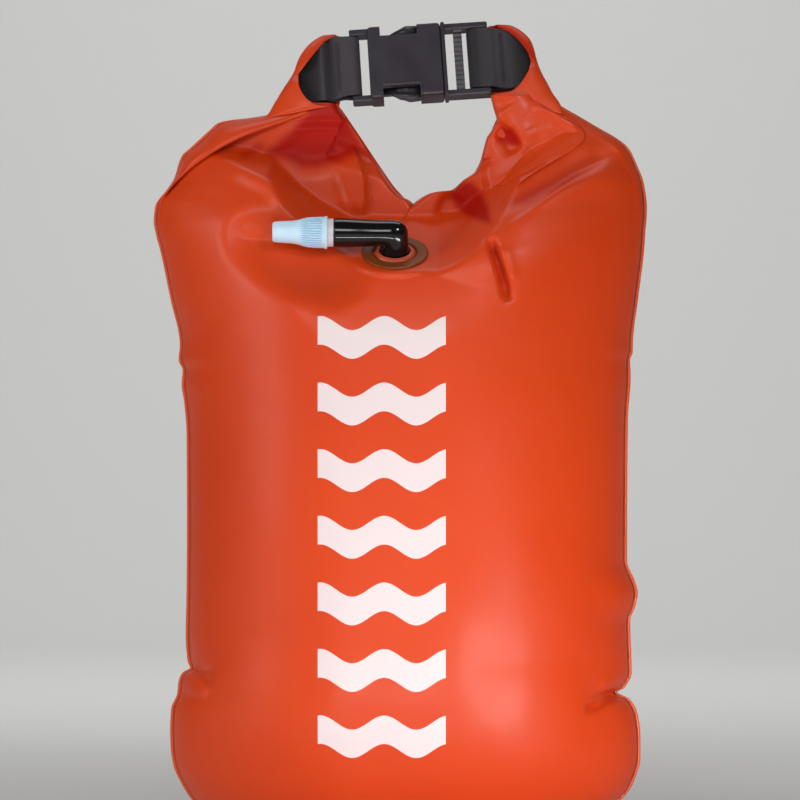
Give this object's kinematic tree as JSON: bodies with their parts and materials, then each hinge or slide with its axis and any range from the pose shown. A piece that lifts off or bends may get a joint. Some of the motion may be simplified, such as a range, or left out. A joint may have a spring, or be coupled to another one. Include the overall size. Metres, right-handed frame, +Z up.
{
  "type": "open water swim buoy",
  "caption": "Inflatable dry-bag tow float with a roll-top closed by a side-release buckle, an elbow oral valve on the front and a leash D-ring on the back.",
  "frame": {"origin": "centre of the bounding box at the bottom, where the folded bottom edge meets the ground", "axes": "+Z up towards the buckle handle, -Y out of the front with the valve, +X to the right seen from the front"},
  "size_m": [0.2998, 0.1552, 0.4975],
  "materials": {
    "coated_fabric": "glossy orange PVC-coated fabric with a fine weave under the coat",
    "liner_film": "satin orange coated fabric",
    "weld_edge": "welded coated fabric, pressed flat and slightly lighter",
    "stiffener": "flexible natural plastic strip",
    "webbing": "black twill webbing",
    "thread": "black stitching",
    "buckle_plastic": "satin charcoal moulded plastic",
    "flange_film": "translucent olive-brown welded flange",
    "grommet": "soft moulded lip in the bag's colour",
    "valve_black": "glossy black moulded tube",
    "valve_white": "white moulded plastic",
    "valve_blue": "pale blue moulded plastic",
    "seal_rubber": "black rubber",
    "ring_plastic": "black moulded plastic"
  },
  "bodies": {
    "bag": {"front_panel": "coated_fabric", "back_panel": "coated_fabric", "chamber_liner": "liner_film", "left_side_weld": "weld_edge", "right_side_weld": "weld_edge", "bottom_weld": "weld_edge", "rolled_closure": "coated_fabric", "stiffener_strip": "stiffener", "left_roll_end": "coated_fabric", "left_strap": "webbing", "left_bar_tack": "thread", "buckle_housing": "buckle_plastic", "valve_flange": "flange_film", "valve_grommet": "grommet", "valve_elbow": "valve_black", "valve_stem": "valve_white", "anchor_patch": "coated_fabric", "anchor_webbing": "webbing", "anchor_bar_tack": "thread"},
    "free_end": {"buckle_frame": "buckle_plastic", "right_strap": "webbing", "right_bar_tack": "thread", "right_roll_end": "coated_fabric"},
    "upper_arm": {"latch_arm_upper": "buckle_plastic"},
    "lower_arm": {"latch_arm_lower": "buckle_plastic"},
    "plunger": {"valve_plunger": "valve_blue", "valve_o_ring": "seal_rubber"},
    "cap": {"valve_cap": "valve_blue"},
    "ring": {"d_ring": "ring_plastic"}
  },
  "joints": [
    {"name": "buckle_release", "type": "slide", "parent": "bag", "child": "free_end", "axis": [0.9979, 0, 0.0645], "range_m": [0, 0.042], "deforming": ["latch_arm_upper", "latch_arm_lower"]},
    {"name": "upper_arm_squeeze", "type": "hinge", "parent": "free_end", "child": "upper_arm", "pos_m": [0.02323, 0.01193, 0.48455], "axis": [-0.0268, -0.91, 0.4138], "range_deg": [0, 9], "stiffness_Nm_per_rad": 0.4},
    {"name": "lower_arm_squeeze", "type": "hinge", "parent": "free_end", "child": "lower_arm", "pos_m": [0.02491, 0.00007, 0.45858], "axis": [0.0268, 0.91, -0.4138], "range_deg": [0, 9], "stiffness_Nm_per_rad": 0.4},
    {"name": "plunger_lift", "type": "slide", "parent": "bag", "child": "plunger", "axis": [-0.9999, -0.0072, 0.012], "range_m": [0, 0.003]},
    {"name": "cap_turn", "type": "hinge", "parent": "plunger", "child": "cap", "pos_m": [-0.0032, -0.05311, 0.36502], "axis": [-0.9999, -0.0072, 0.012], "range_deg": [0, 360]},
    {"name": "ring_swing", "type": "hinge", "parent": "bag", "child": "ring", "pos_m": [-0.0032, 0.0737, 0.1109], "axis": [1, 0, 0], "range_deg": [0, 150]}
  ],
  "couplings": [
    {"joint": "lower_arm_squeeze", "follows": "upper_arm_squeeze", "ratio": 1},
    {"joint": "plunger_lift", "follows": "cap_turn", "m_per_rad": 0.000477}
  ]
}
